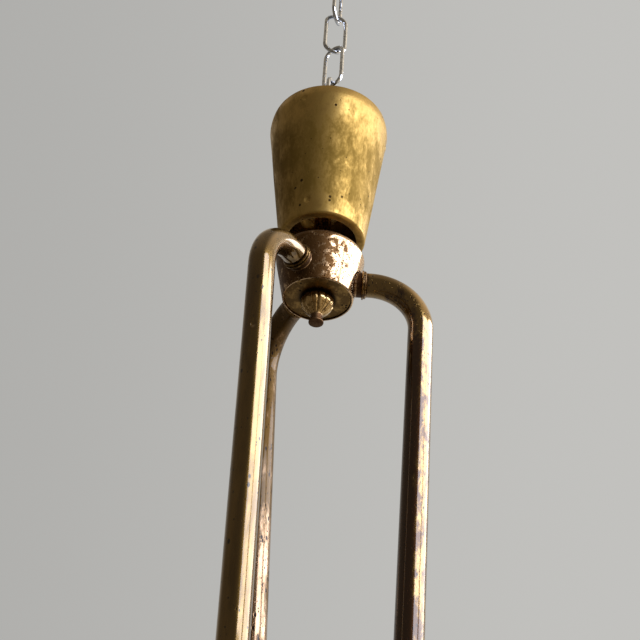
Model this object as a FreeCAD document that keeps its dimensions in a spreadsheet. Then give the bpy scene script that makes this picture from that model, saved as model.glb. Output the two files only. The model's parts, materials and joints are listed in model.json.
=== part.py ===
"""A brass three-arm pendant lamp on a chain, as a parametric FreeCAD document.

The lamp hangs from a plate on the ceiling. Four chain links carry an eye, the eye carries a
threaded stem, and the stem carries the hub. A flared cup slides on the stem and three bent
tubes leave the hub sideways, turn down and end in lamp holders.

Frame: the origin is the centre of the ceiling plate's top face, where the plate meets the
ceiling. +Z points up and everything else lies below it. Millimetres and degrees.
"""
import FreeCAD, Part
import math
import os

import Sketcher

SMALLEST_VOLUME = 1.0
# A fully rounded edge has a hair more than half the wall as its radius, so its centre exists.
FULL_ROUND = 1.001

# Every size that can be set by itself: alias, value, what it is.
SIZES = [
    ("plate_radius", 30, "ceiling plate, outer radius of the flange"),
    ("plate_wall", 1.5, "ceiling plate, sheet thickness"),
    ("dome_radius", 19, "ceiling plate, outer radius of the dome"),
    ("dome_depth", 10, "ceiling plate, depth of the dome below the ceiling"),
    ("dome_corner", 5, "ceiling plate, rounding of the dome"),
    ("plate_screw_circle", 25, "radius of the circle that the plate's screw holes lie on"),
    ("plate_screw_hole", 2.2, "radius of a screw hole in the plate"),
    ("plate_screw_count", 3, "screw holes in the plate"),
    ("hook_wire", 4, "hook, diameter of the rod"),
    ("hook_bend", 9, "hook, centreline radius of the bow"),
    ("hook_neck", 4, "hook, centreline radius of the bend below the shank"),
    ("hook_shank", 7, "hook, straight shank below the dome"),
    ("hook_thread", 6, "hook, length of thread above the dome's inside"),
    ("hook_wrap", 150, "hook, angle of the tip measured from the plane of the bow's centre"),
    ("hook_azimuth", -20, "direction in plan of the hook's bow"),
    ("hook_nut_flats", 7, "nut on the hook, across the flats"),
    ("hook_nut_height", 3.2, "nut on the hook, height"),
    ("link_wire", 2.8, "chain, diameter of the wire"),
    ("link_width", 17, "chain, outer width of a link"),
    ("link_length", 42, "chain, outer length of a link"),
    ("link_play", 0.25, "chain, clearance between two hanging wires"),
    ("link_azimuth_1", 70, "direction in plan of link 1"),
    ("link_azimuth_2", 12, "direction in plan of link 2"),
    ("link_azimuth_3", -38, "direction in plan of link 3"),
    ("link_azimuth_4", 70, "direction in plan of link 4"),
    ("eye_wire", 4, "eye, diameter of the ring's rod"),
    ("eye_ring", 8, "eye, centreline radius of the ring"),
    ("eye_azimuth", -20, "direction in plan of the eye's ring"),
    ("boss_radius", 7, "eye, radius of the threaded boss"),
    ("boss_length", 18, "eye, length of the boss below the ring's rod"),
    ("boss_cable_hole", 2, "eye, radius of the cable's side hole"),
    ("boss_cable_gap", 0.25, "eye, space above and below the cable's side hole"),
    ("stem_radius", 5, "threaded stem, outer radius"),
    ("stem_bore", 3.5, "threaded stem, radius of the bore"),
    ("stem_length", 132.6, "threaded stem, length"),
    ("stem_grip", 10, "length of stem inside the eye's boss"),
    ("finial_grip", 5, "length of stem inside the finial"),
    ("thread_gap", 0.05, "radial clearance of a screwed or slipped-on piece"),
    ("bore_gap", 0.2, "radial clearance of a hole round the stem or a nipple"),
    ("lock_nut_flats", 14, "nuts on the stem, across the flats"),
    ("lock_nut_height", 5, "nut below the eye, height"),
    ("hub_nut_height", 4, "nut above the hub, height"),
    ("washer_radius", 9.5, "washer above the hub, outer radius"),
    ("washer_height", 1.2, "washer above the hub, thickness"),
    ("hub_bottom_radius", 19.9, "hub, outer radius at the bottom rim"),
    ("hub_radius", 25.6, "hub, outer radius at the shoulder"),
    ("hub_cone_height", 27.6, "hub, height of the tapered side"),
    ("hub_shoulder", 4.9, "hub, rounding of the shoulder"),
    ("hub_wall", 2, "hub, wall thickness"),
    ("cover_radius", 18.9, "hub cover, radius"),
    ("cover_thickness", 2, "hub cover, thickness"),
    ("cover_inset", 0.8, "hub cover, depth inside the bottom rim"),
    ("cover_gap", 0.15, "hub cover, clearance to the hub's rim"),
    ("ledge_width", 1.6, "hub, width of the ledge that the cover seats on"),
    ("finial_seat_radius", 8.4, "finial, radius where it meets the cover"),
    ("finial_ball_height", 11.6, "finial, height of the fluted ball"),
    ("finial_ball_bulge", 7.4, "finial, radius of the ball's side"),
    ("finial_neck_radius", 3, "finial, radius where the ball runs into the neck"),
    ("finial_waist_radius", 2.3, "finial, smallest radius of the neck"),
    ("finial_neck_length", 4.2, "finial, length of the neck"),
    ("finial_button_radius", 4.2, "finial, radius of the button"),
    ("finial_button_height", 1.5, "finial, height of the button"),
    ("flute_radius", 1.3, "finial, radius of a flute's section"),
    ("flute_depth", 0.55, "finial, depth of a flute"),
    ("flute_angle", 108, "finial, angle that a flute runs through on the ball"),
    ("flute_count", 12, "finial, number of flutes"),
    ("arm_height", 12.5, "height of the arms' axes above the hub's bottom rim"),
    ("arm_azimuth", -1, "direction in plan of the first arm"),
    ("arm_count", 3, "arms round the hub"),
    ("boss_proud", 0.384, "hub's arm bosses, how far they stand out at the collar's upper edge"),
    ("boss_inside", 17.6, "hub's arm bosses, distance of the inner face from the axis"),
    ("boss_lip", 0.2, "hub's arm bosses, how much wider than the tube all round"),
    ("collar_lip", 1.4, "arm collar, height of the flange above the tube"),
    ("collar_flange", 1, "arm collar, thickness of the flange"),
    ("bead_lip", 1, "arm collar, height of the bead above the tube"),
    ("collar_bead", 1.4, "arm collar, width of the bead"),
    ("collar_socket", 0.8, "arm collar, depth of the seat for the tube"),
    ("arm_circle", 57.7, "distance of an arm's leg from the axis, just below the bend"),
    ("arm_radius", 7, "arm tube, outer radius"),
    ("arm_wall", 1, "arm tube, wall thickness"),
    ("arm_run", 1.8, "arm tube, straight run outside its seat"),
    ("arm_leg", 209, "arm tube, length of the leg"),
    ("arm_lean_1", 2.2, "inward lean of the first arm's leg"),
    ("arm_lean_2", 5.6, "inward lean of the second arm's leg"),
    ("arm_lean_3", 2.9, "inward lean of the third arm's leg"),
    ("nipple_radius", 5, "arm nipple, outer radius of the thread"),
    ("nipple_bore", 3.5, "arm nipple, radius of the bore"),
    ("nipple_spigot", 3, "arm nipple, length inside the tube at the hub"),
    ("nipple_tail", 2, "arm nipple, thread left inside the nut"),
    ("arm_nut_flats", 13, "nut inside the hub, across the flats"),
    ("arm_nut_height", 3.2, "nut inside the hub, height"),
    ("lead_radius", 2.8, "lamp lead, radius of the sheath"),
    ("lead_start", 13, "lamp lead, distance of the inner end from the axis"),
    ("spigot_gap", 0.1, "clearance between a nipple's spigot and the tube"),
    ("block_near", 7, "terminal block, distance of the near side from the axis"),
    ("block_depth", 9, "terminal block, size away from the axis"),
    ("block_width", 12, "terminal block, size across"),
    ("block_height", 11, "terminal block, height"),
    ("block_screw_spacing", 6, "terminal block, distance between the two screws"),
    ("block_screw_radius", 1.5, "terminal screw, radius"),
    ("block_screw_depth", 5, "terminal screw, depth in the block"),
    ("block_screw_proud", 0.6, "terminal screw, height above the block"),
    ("block_azimuth", 59, "direction in plan of the terminal block"),
    ("canopy_mouth", 43.7, "height of the canopy's lower edge above the hub's bottom rim"),
    ("canopy_bottom_radius", 25.5, "canopy, outer radius at the lower edge"),
    ("canopy_mouth_radius", 20.3, "canopy, radius of the hole in the lower edge"),
    ("canopy_radius", 37.4, "canopy, outer radius just below the rim"),
    ("canopy_cone_height", 89, "canopy, height of the tapered side"),
    ("canopy_rim_height", 7, "canopy, height of the part that curls in at the rim"),
    ("canopy_rim_radius", 36.6, "canopy, outer radius at the rim"),
    ("canopy_wall", 1.3, "canopy, wall thickness"),
    ("canopy_corner", 1.6, "canopy, rounding of the lower edge"),
    ("bridge_height", 72.5, "height of the canopy bridge above the hub's bottom rim"),
    ("bridge_thickness", 1.5, "canopy bridge, thickness"),
    ("bridge_sleeve_radius", 8, "canopy bridge, radius of the sleeve"),
    ("bridge_sleeve", 6.5, "canopy bridge, height of the sleeve above the disc"),
    ("bridge_gap", 0.1, "canopy bridge, clearance to the canopy's wall"),
    ("bridge_hole", 5, "canopy bridge, radius of a wiring hole"),
    ("bridge_hole_circle", 17.5, "canopy bridge, radius of the circle of wiring holes"),
    ("bridge_hole_count", 3, "canopy bridge, number of wiring holes"),
    ("slide_gap", 0.15, "radial clearance of the canopy bridge on the stem"),
    ("collar_seat_gap", 0.1, "clearance between the stop collar and the canopy bridge"),
    ("stop_radius", 9, "stop collar, radius"),
    ("stop_height", 9, "stop collar, height"),
    ("stop_chamfer", 0.75, "stop collar, chamfer of its outer edges"),
    ("stop_screw_radius", 2, "stop collar's grub screw, radius"),
    ("stop_screw_proud", 1.5, "stop collar's grub screw, length outside the collar"),
    ("stop_azimuth", 200, "direction in plan of the grub screw"),
    ("holder_spigot", 9, "holder nipple, length inside the arm tube"),
    ("holder_thread", 6, "holder nipple, length below the arm tube"),
    ("cap_top_radius", 9.5, "holder cap, radius at the tube"),
    ("cap_radius", 14, "holder cap, radius at the shoulder"),
    ("cap_height", 11, "holder cap, height down to the shoulder"),
    ("cap_round", 9, "holder cap, rounding of the dome"),
    ("cap_wall", 1, "holder cap, wall thickness"),
    ("cap_skirt", 5, "holder cap, length of skirt inside the sleeve"),
    ("sleeve_wall", 0.9, "holder sleeve, wall thickness"),
    ("sleeve_length", 40, "holder sleeve, length"),
    ("sleeve_bead", 0.7, "holder sleeve, height of the bead at the lower rim"),
    ("core_depth", 13, "holder core, distance of its top below the tube"),
    ("core_base", 7, "holder core, thickness of the base"),
    ("core_length", 29, "holder core, length"),
    ("shell_room", 1, "holder core, radial clearance of its bore round the screw shell"),
    ("shell_radius", 7.1, "screw shell, inner radius"),
    ("shell_wall", 0.5, "screw shell, wall thickness"),
    ("shell_length", 19, "screw shell, length"),
    ("flange_gap", 0.2, "screw shell, radial clearance of its flange in the core's bore"),
    ("contact_radius", 2.6, "centre contact, radius"),
    ("contact_height", 2.2, "centre contact, height, all of it in a pocket of the core"),
    ("contact_gap", 0.1, "centre contact, radial clearance in its pocket"),
]

DOCUMENT = FreeCAD.newDocument("pendant_lamp")
SHEET = DOCUMENT.addObject("Spreadsheet::Sheet", "dims")
VALUES = {}
NODES = {}


class Size:
    """A number together with the sheet formula that gives it."""

    def __init__(self, value, formula=None):
        self.value = float(value)
        self.formula = formula or repr(float(value))

    def __add__(self, other):
        other = as_size(other)
        return Size(self.value + other.value, f"({self.formula} + {other.formula})")

    def __sub__(self, other):
        other = as_size(other)
        return Size(self.value - other.value, f"({self.formula} - {other.formula})")

    def __mul__(self, other):
        other = as_size(other)
        return Size(self.value * other.value, f"({self.formula} * {other.formula})")

    def __truediv__(self, other):
        other = as_size(other)
        return Size(self.value / other.value, f"({self.formula} / {other.formula})")

    def __neg__(self):
        return Size(-self.value, f"(0 - {self.formula})")

    def __radd__(self, other):
        return as_size(other) + self

    def __rsub__(self, other):
        return as_size(other) - self

    def __rmul__(self, other):
        return as_size(other) * self

    def __rtruediv__(self, other):
        return as_size(other) / self


def as_size(number):
    return number if isinstance(number, Size) else Size(number)


def cosine(angle):
    return Size(math.cos(math.radians(angle.value)), f"cos({angle.formula})")


def sine(angle):
    return Size(math.sin(math.radians(angle.value)), f"sin({angle.formula})")


def square_root(size):
    return Size(math.sqrt(size.value), f"sqrt({size.formula})")


def size(alias):
    return Size(VALUES[alias], f"dims.{alias}")


def fill_sheet():
    for row, (alias, value, meaning) in enumerate(SIZES, start=1):
        SHEET.set(f"A{row}", meaning)
        SHEET.set(f"B{row}", str(value))
        SHEET.setAlias(f"B{row}", alias)
        VALUES[alias] = value
    DOCUMENT.recompute()


# ---------------------------------------------------------------- sketches and features


def new_body(label):
    body = DOCUMENT.addObject("PartDesign::Body", label)
    body.Label = label
    return body


def new_sketch(body, plane, name, offset=None):
    """A sketch on one of the body's own origin planes, offset along the plane's normal."""
    sketch = body.newObject("Sketcher::SketchObject", name)
    origin_plane = [item for item in body.Origin.OriginFeatures if item.Role == plane][0]
    sketch.AttachmentSupport = [(origin_plane, "")]
    sketch.MapMode = "FlatFace"
    if offset is not None:
        sketch.AttachmentOffset = FreeCAD.Placement(
            FreeCAD.Vector(0, 0, offset.value), FreeCAD.Rotation()
        )
        sketch.setExpression("AttachmentOffset.Base.z", offset.formula)
    return sketch


def pin_point(sketch, edge, end, x, y):
    """Fix one end of an edge at (x, y) with constraints that read the sheet."""
    for kind, axis, number in (("DistanceX", -2, x), ("DistanceY", -1, y)):
        if number.value == 0:
            sketch.addConstraint(Sketcher.Constraint("PointOnObject", edge, end, axis))
            continue
        index = sketch.addConstraint(Sketcher.Constraint(kind, -1, 1, edge, end, number.value))
        sketch.setExpression(f"Constraints[{index}]", number.formula)


def arc_centre(start, end, radius):
    """Centre of the arc from start to end that bulges to the right of the chord's way.

    An outline is traced with the material on its left, so a positive radius bulges outwards
    and a negative one is hollow.
    """
    along = (end[0] - start[0], end[1] - start[1])
    chord = square_root(along[0] * along[0] + along[1] * along[1])
    rise = square_root(radius * radius - chord * chord / 4)
    if radius.value < 0:
        rise = -rise
    return (
        (start[0] + end[0]) / 2 - along[1] * rise / chord,
        (start[1] + end[1]) / 2 + along[0] * rise / chord,
    )


def add_arc(sketch, start, end, radius):
    """Add the arc and return its number and the end positions of its start and end."""
    centre = arc_centre(start, end, radius)
    angles = [
        math.atan2(point[1].value - centre[1].value, point[0].value - centre[0].value)
        for point in (start, end)
    ]
    anticlockwise = radius.value > 0
    first, last = angles if anticlockwise else reversed(angles)
    circle = Part.Circle(
        FreeCAD.Vector(centre[0].value, centre[1].value, 0),
        FreeCAD.Vector(0, 0, 1),
        abs(radius.value),
    )
    edge = sketch.addGeometry(Part.ArcOfCircle(circle, first, last), False)
    index = sketch.addConstraint(Sketcher.Constraint("Radius", edge, abs(radius.value)))
    formula = radius.formula if anticlockwise else (-radius).formula
    sketch.setExpression(f"Constraints[{index}]", formula)
    return (edge, 1, 2) if anticlockwise else (edge, 2, 1)


def draw(sketch, corners, closed=True):
    """Draw an outline. A corner is (x, y), or (x, y, radius) where an arc leads to it."""
    points = [tuple(as_size(number) for number in corner) for corner in corners]
    count = len(points) if closed else len(points) - 1
    ends = []
    for number in range(count):
        start, target = points[number][:2], points[(number + 1) % len(points)]
        if len(target) == 3:
            ends.append(add_arc(sketch, start, target[:2], target[2]))
        else:
            line = Part.LineSegment(
                FreeCAD.Vector(start[0].value, start[1].value, 0),
                FreeCAD.Vector(target[0].value, target[1].value, 0),
            )
            ends.append((sketch.addGeometry(line, False), 1, 2))
    for number, (edge, first, last) in enumerate(ends):
        pin_point(sketch, edge, first, *points[number][:2])
        if number + 1 < len(ends) or closed:
            following = ends[(number + 1) % len(ends)]
            joint = Sketcher.Constraint("Coincident", edge, last, following[0], following[1])
            sketch.addConstraint(joint)
        else:
            pin_point(sketch, edge, last, *points[number + 1][:2])


def draw_circle(sketch, radius, x=0, y=0):
    x, y, radius = as_size(x), as_size(y), as_size(radius)
    circle = Part.Circle(FreeCAD.Vector(x.value, y.value, 0), FreeCAD.Vector(0, 0, 1), radius.value)
    edge = sketch.addGeometry(circle, False)
    pin_point(sketch, edge, 3, x, y)
    index = sketch.addConstraint(Sketcher.Constraint("Radius", edge, radius.value))
    sketch.setExpression(f"Constraints[{index}]", radius.formula)


def turn(body, name, corners):
    """Revolve an outline of (radius, height) corners about the body's Z axis."""
    sketch = new_sketch(body, "XZ_Plane", f"{name}_profile")
    draw(sketch, corners)
    feature = body.newObject("PartDesign::Revolution", name)
    feature.Profile = sketch
    feature.ReferenceAxis = (sketch, ["V_Axis"])
    feature.Angle = 360
    return feature


def sweep(body, name, path_corners, closed, section_plane, section_offset, radii, centre=(0, 0)):
    """Sweep concentric circles along a path that is drawn in the body's XZ plane."""
    path = new_sketch(body, "XZ_Plane", f"{name}_path")
    draw(path, path_corners, closed)
    section = new_sketch(body, section_plane, f"{name}_section", section_offset)
    for radius in radii:
        draw_circle(section, radius, *centre)
    feature = body.newObject("PartDesign::AdditivePipe", name)
    feature.Profile = section
    feature.Spine = (path, [])
    return feature


def cut_hole(body, name, radius, length, place, toward="rotationx(0)"):
    """Take a cylinder out of the body. toward turns it from +Z to its own direction."""
    hole = body.newObject("PartDesign::SubtractiveCylinder", name)
    hole.setExpression("Radius", as_size(radius).formula)
    hole.setExpression("Height", as_size(length).formula)
    hole.setExpression("Placement", placement(place, toward))
    return hole


def repeat_round(body, name, features, count):
    """Repeat features evenly round the body's Z axis."""
    pattern = body.newObject("PartDesign::PolarPattern", name)
    pattern.Originals = features
    z_axis = [item for item in body.Origin.OriginFeatures if item.Role == "Z_Axis"][0]
    pattern.Axis = (z_axis, [""])
    pattern.Angle = 360
    pattern.Occurrences = int(count.value)
    pattern.setExpression("Occurrences", count.formula)
    body.Tip = pattern
    return pattern


def placement(place, rotation="rotationx(0)"):
    x, y, z = (as_size(number).formula for number in place)
    return f"placement(vector({x}; {y}; {z}); {rotation})"


def put(node, piece, place, rotation="rotationx(0)"):
    """Set where a finished sub-part sits and list it as a node."""
    piece.Label = node
    piece.setExpression("Placement", placement(place, rotation))
    NODES[node] = piece


def heading(azimuth):
    return f"rotationz({as_size(azimuth).formula})"


def hexagon_nut(name, flats, height, bore):
    prism = DOCUMENT.addObject("Part::Prism", f"{name}_hexagon")
    prism.Polygon = 6
    prism.setExpression("Circumradius", (flats / square_root(Size(3))).formula)
    prism.setExpression("Height", height.formula)
    hole = DOCUMENT.addObject("Part::Cylinder", f"{name}_bore")
    hole.setExpression("Radius", bore.formula)
    hole.setExpression("Height", height.formula)
    nut = DOCUMENT.addObject("Part::Cut", name)
    nut.Base = prism
    nut.Tool = hole
    return nut


def rod(name, radius, height):
    cylinder = DOCUMENT.addObject("Part::Cylinder", name)
    cylinder.setExpression("Radius", as_size(radius).formula)
    cylinder.setExpression("Height", as_size(height).formula)
    return cylinder


# ---------------------------------------------------------------- heights down the lamp


def hook_bow_centre():
    """Height of the centre of the hook's bow: the neck bend runs tangent into the bow."""
    reach = size("hook_neck") + size("hook_bend")
    drop = square_root(reach * reach - size("hook_neck") * size("hook_neck"))
    return -size("dome_depth") - size("hook_shank") - drop


def link_top(number):
    """Height of the wire's centre at the top of a link. Link 1 hangs on the hook."""
    hook_bottom = hook_bow_centre() - size("hook_bend")
    top = hook_bottom + (size("hook_wire") + size("link_wire")) / 2 + size("link_play")
    pitch = size("link_length") - 2 * size("link_wire") - size("link_play")
    return top - (number - 1) * pitch


def link_bottom(number):
    return link_top(number) - size("link_length") + size("link_wire")


def eye_centre():
    """Height of the eye's ring centre: its rod lies on the last link's wire."""
    top = link_bottom(4) + (size("link_wire") + size("eye_wire")) / 2 + size("link_play")
    return top - size("eye_ring")


def boss_bottom():
    return eye_centre() - size("eye_ring") - size("boss_length")


def stem_bottom():
    return boss_bottom() + size("stem_grip") - size("stem_length")


def hub_bottom():
    """Height of the hub's bottom rim, the reference for everything on the hub."""
    return stem_bottom() + size("finial_grip") - size("cover_inset")


def hub_top():
    return size("hub_cone_height") + size("hub_shoulder")


def hub_radius_at(height):
    flare = (size("hub_radius") - size("hub_bottom_radius")) / size("hub_cone_height")
    return size("hub_bottom_radius") + flare * height


def canopy_radius_at(height):
    """Outer radius of the canopy's taper at a height above its lower edge."""
    flare = (size("canopy_radius") - size("canopy_bottom_radius")) / size("canopy_cone_height")
    return size("canopy_bottom_radius") + flare * height


def collar_radius():
    return size("arm_radius") + size("collar_lip")


def boss_reach():
    """Distance of an arm boss's face from the axis: the whole collar stands clear of the hub."""
    collar_top = size("arm_height") + collar_radius()
    return hub_radius_at(collar_top) + size("boss_proud")


# ---------------------------------------------------------------- ceiling plate and hook


def build_ceiling_plate():
    """A pressed steel plate: a flange on the ceiling round a shallow dome."""
    body = new_body("ceiling_plate")
    wall, corner, depth = size("plate_wall"), size("dome_corner"), size("dome_depth")
    dome, rim = size("dome_radius"), size("plate_radius")
    shank_hole = size("hook_wire") / 2 + size("bore_gap")
    turn(
        body,
        "shell",
        [
            (shank_hole, -depth),
            (dome - corner, -depth),
            (dome, corner - depth, corner),
            (dome, -wall),
            (rim, -wall),
            (rim, 0),
            (dome - wall, 0),
            (dome - wall, corner - depth),
            (dome - corner, wall - depth, wall - corner),
            (shank_hole, wall - depth),
        ],
    )
    hole = cut_hole(
        body,
        "screw_hole",
        size("plate_screw_hole"),
        3 * wall,
        (size("plate_screw_circle"), 0, -2 * wall),
    )
    DOCUMENT.recompute()
    repeat_round(body, "screw_holes", [hole], size("plate_screw_count"))
    put("ceiling_plate", body, (0, 0, 0))


def build_ceiling_hook():
    """A rod bent to an open hook: shank, neck bend, then the bow round to the tip."""
    body = new_body("ceiling_hook")
    neck, bend = size("hook_neck"), size("hook_bend")
    top = size("plate_wall") - size("dome_depth") + size("hook_thread")
    shank_end = -size("dome_depth") - size("hook_shank")
    centre = hook_bow_centre()
    share = bend / (neck + bend)
    join = (neck * share, centre + (shank_end - centre) * share)
    wrap = size("hook_wrap")
    tip = (bend * cosine(wrap), centre + bend * sine(wrap))
    sweep(
        body,
        "rod",
        [
            (0, top),
            (0, shank_end),
            (join[0], join[1], neck),
            (0, centre - bend, -bend),
            (tip[0], tip[1], -bend),
        ],
        False,
        "XY_Plane",
        top,
        [size("hook_wire") / 2],
    )
    put("ceiling_hook", body, (0, 0, 0), heading(size("hook_azimuth")))

    nut = hexagon_nut(
        "hook_nut",
        size("hook_nut_flats"),
        size("hook_nut_height"),
        size("hook_wire") / 2 + size("thread_gap"),
    )
    put("hook_nut", nut, (0, 0, size("plate_wall") - size("dome_depth")))


# ---------------------------------------------------------------- chain, eye and stem


def build_chain():
    for number in (1, 2, 3, 4):
        node = f"chain_link_{number}"
        body = new_body(node)
        bow = (size("link_width") - size("link_wire")) / 2
        side = (size("link_length") - size("link_width")) / 2
        path_corners = [
            (bow, 0),
            (bow, side),
            (0, side + bow, bow),
            (-bow, side, bow),
            (-bow, -side),
            (0, -side - bow, bow),
            (bow, -side, bow),
        ]
        sweep(
            body,
            "wire",
            path_corners,
            True,
            "XY_Plane",
            None,
            [size("link_wire") / 2],
            (bow, 0),
        )
        height = (link_top(number) + link_bottom(number)) / 2
        put(node, body, (0, 0, height), heading(size(f"link_azimuth_{number}")))


def build_eye():
    """A ring on a threaded boss, with a side hole where a cable can leave the stem."""
    body = new_body("suspension_eye")
    boss, grip = size("boss_radius"), size("stem_grip")
    thread = size("stem_radius") + size("thread_gap")
    length, chamfer = size("boss_length"), size("eye_wire") / 2
    cable = size("boss_cable_hole")
    roof = grip + 2 * cable + 2 * size("boss_cable_gap")
    cable_height = (grip + roof) / 2
    turn(
        body,
        "boss",
        [
            (thread, 0),
            (boss, 0),
            (boss, length - chamfer),
            (boss - chamfer, length, chamfer),
            (0, length),
            (0, roof),
            (size("stem_bore"), roof),
            (size("stem_bore"), grip),
            (thread, grip),
        ],
    )
    ring = body.newObject("PartDesign::AdditiveTorus", "ring")
    ring.setExpression("Radius1", size("eye_ring").formula)
    ring.setExpression("Radius2", (size("eye_wire") / 2).formula)
    ring.setExpression("Placement", placement((0, 0, length + size("eye_ring")), "rotationx(90)"))
    cut_hole(body, "cable_hole", cable, 2 * boss, (0, 0, cable_height), "rotationx(90)")
    put("suspension_eye", body, (0, 0, boss_bottom()), heading(size("eye_azimuth")))


def build_stem():
    body = new_body("stem")
    bore, outside, length = size("stem_bore"), size("stem_radius"), size("stem_length")
    turn(body, "tube", [(bore, 0), (outside, 0), (outside, length), (bore, length)])
    put("stem", body, (0, 0, stem_bottom()))

    bore = size("stem_radius") + size("thread_gap")
    nut = hexagon_nut("eye_lock_nut", size("lock_nut_flats"), size("lock_nut_height"), bore)
    put("eye_lock_nut", nut, (0, 0, boss_bottom() - size("lock_nut_height")))
    nut = hexagon_nut("hub_nut", size("lock_nut_flats"), size("hub_nut_height"), bore)
    put("hub_nut", nut, (0, 0, hub_bottom() + hub_top() + size("washer_height")))

    body = new_body("hub_washer")
    bore = size("stem_radius") + size("bore_gap")
    edge, height = size("washer_radius"), size("washer_height")
    turn(body, "ring", [(bore, 0), (edge, 0), (edge, height), (bore, height)])
    put("hub_washer", body, (0, 0, hub_bottom() + hub_top()))


def build_stop_collar():
    """A ring clamped on the stem by a thumb screw. The canopy rests on it."""
    body = new_body("stop_collar")
    bore, edge = size("stem_radius") + size("thread_gap"), size("stop_radius")
    height, chamfer = size("stop_height"), size("stop_chamfer")
    turn(
        body,
        "ring",
        [
            (bore, 0),
            (edge - chamfer, 0),
            (edge, chamfer),
            (edge, height - chamfer),
            (edge - chamfer, height),
            (bore, height),
        ],
    )
    screw = size("stop_screw_radius")
    screw_hole = screw + size("thread_gap")
    cut_hole(body, "screw_hole", screw_hole, 2 * edge, (0, 0, height / 2), "rotationy(90)")
    bottom = hub_bottom() + size("bridge_height") - size("collar_seat_gap") - height
    azimuth = size("stop_azimuth")
    put("stop_collar", body, (0, 0, bottom), heading(azimuth))

    body = new_body("stop_screw")
    start = size("stem_radius") + size("thread_gap")
    end = edge + size("stop_screw_proud")
    head = 2 * screw
    turn(
        body,
        "screw",
        [
            (0, start),
            (screw, start),
            (screw, edge + size("thread_gap")),
            (head, edge + size("thread_gap")),
            (head, end),
            (0, end),
        ],
    )
    put(
        "stop_screw",
        body,
        (0, 0, bottom + height / 2),
        f"{heading(azimuth)} * rotationy(90)",
    )


# ---------------------------------------------------------------- hub, cover and finial


def build_hub():
    """A hollow tapered casting with a rounded shoulder and a flat boss at each arm."""
    body = new_body("hub_body")
    wall, shoulder, side = size("hub_wall"), size("hub_shoulder"), size("hub_cone_height")
    bottom, top = size("hub_bottom_radius"), size("hub_radius")
    seat = size("cover_inset") + size("cover_thickness")
    rim = size("cover_radius") + size("cover_gap")
    ledge = size("cover_radius") - size("ledge_width")
    stem_hole = size("stem_radius") + size("bore_gap")
    chamfer = wall / 5
    turn(
        body,
        "shell",
        [
            (rim, 0),
            (bottom - chamfer, 0),
            (hub_radius_at(chamfer), chamfer),
            (top, side),
            (top - shoulder, side + shoulder, shoulder),
            (stem_hole, side + shoulder),
            (stem_hole, side + shoulder - wall),
            (top - shoulder, side + shoulder - wall),
            (top - wall, side, wall - shoulder),
            (hub_radius_at(seat + wall) - wall, seat + wall),
            (ledge, seat + wall),
            (ledge, seat),
            (rim, seat),
        ],
    )
    DOCUMENT.recompute()
    height = size("arm_height")
    boss = body.newObject("PartDesign::AdditiveCylinder", "arm_boss")
    boss.setExpression("Radius", (size("arm_radius") + size("boss_lip")).formula)
    boss.setExpression("Height", (boss_reach() - size("boss_inside")).formula)
    boss.setExpression("Placement", placement((size("boss_inside"), 0, height), "rotationy(90)"))
    DOCUMENT.recompute()
    repeat_round(body, "arm_bosses", [boss], size("arm_count"))
    DOCUMENT.recompute()
    hole = cut_hole(
        body,
        "arm_hole",
        size("nipple_radius") + size("bore_gap"),
        boss_reach(),
        (size("stem_radius") + wall, 0, height),
        "rotationy(90)",
    )
    DOCUMENT.recompute()
    repeat_round(body, "arm_holes", [hole], size("arm_count"))
    put("hub_body", body, (0, 0, hub_bottom()), heading(size("arm_azimuth")))

    body = new_body("hub_cover")
    radius, thickness = size("cover_radius"), size("cover_thickness")
    edge = thickness / 4
    turn(
        body,
        "disc",
        [
            (stem_hole, 0),
            (radius - edge, 0),
            (radius, edge, edge),
            (radius, thickness),
            (stem_hole, thickness),
        ],
    )
    put("hub_cover", body, (0, 0, hub_bottom() + size("cover_inset")))


def build_finial():
    """A fluted ball, a waisted neck and a button, screwed on the end of the stem."""
    body = new_body("finial")
    seat, neck = size("finial_seat_radius"), size("finial_neck_radius")
    waist = size("finial_waist_radius")
    bulge, ball, neck_length = (
        size("finial_ball_bulge"),
        size("finial_ball_height"),
        size("finial_neck_length"),
    )
    button, button_height = size("finial_button_radius"), size("finial_button_height")
    thread, grip = size("stem_radius") + size("thread_gap"), size("finial_grip") + size("thread_gap")
    waist_height = -ball - neck_length / 3
    button_top = -ball - neck_length
    end = button_top - button_height
    edge = button_height / 4
    turn(
        body,
        "ball",
        [
            (0, -grip),
            (0, end),
            (button - edge, end),
            (button, end + edge, edge),
            (button, button_top - edge),
            (button - edge, button_top, edge),
            (waist, waist_height, -2 * neck_length),
            (neck, -ball),
            (seat, 0, bulge),
            (thread, 0),
            (thread, -grip),
        ],
    )
    DOCUMENT.recompute()
    centre = arc_centre((neck, -ball), (seat, as_size(0)), bulge)
    flute_radius = size("flute_radius")
    sketch = new_sketch(body, "XY_Plane", "flute_section", centre[1])
    draw_circle(sketch, flute_radius, centre[0] + bulge + flute_radius - size("flute_depth"), 0)
    axis = sketch.addGeometry(
        Part.LineSegment(
            FreeCAD.Vector(centre[0].value, -bulge.value, 0),
            FreeCAD.Vector(centre[0].value, bulge.value, 0),
        ),
        True,
    )
    pin_point(sketch, axis, 1, centre[0], -bulge)
    pin_point(sketch, axis, 2, centre[0], bulge)
    flute = body.newObject("PartDesign::Groove", "flute")
    flute.Profile = sketch
    flute.ReferenceAxis = (sketch, ["Axis0"])
    flute.setExpression("Angle", size("flute_angle").formula)
    flute.Midplane = True
    DOCUMENT.recompute()
    repeat_round(body, "flutes", [flute], size("flute_count"))
    put("finial", body, (0, 0, hub_bottom() + size("cover_inset")))


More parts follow.
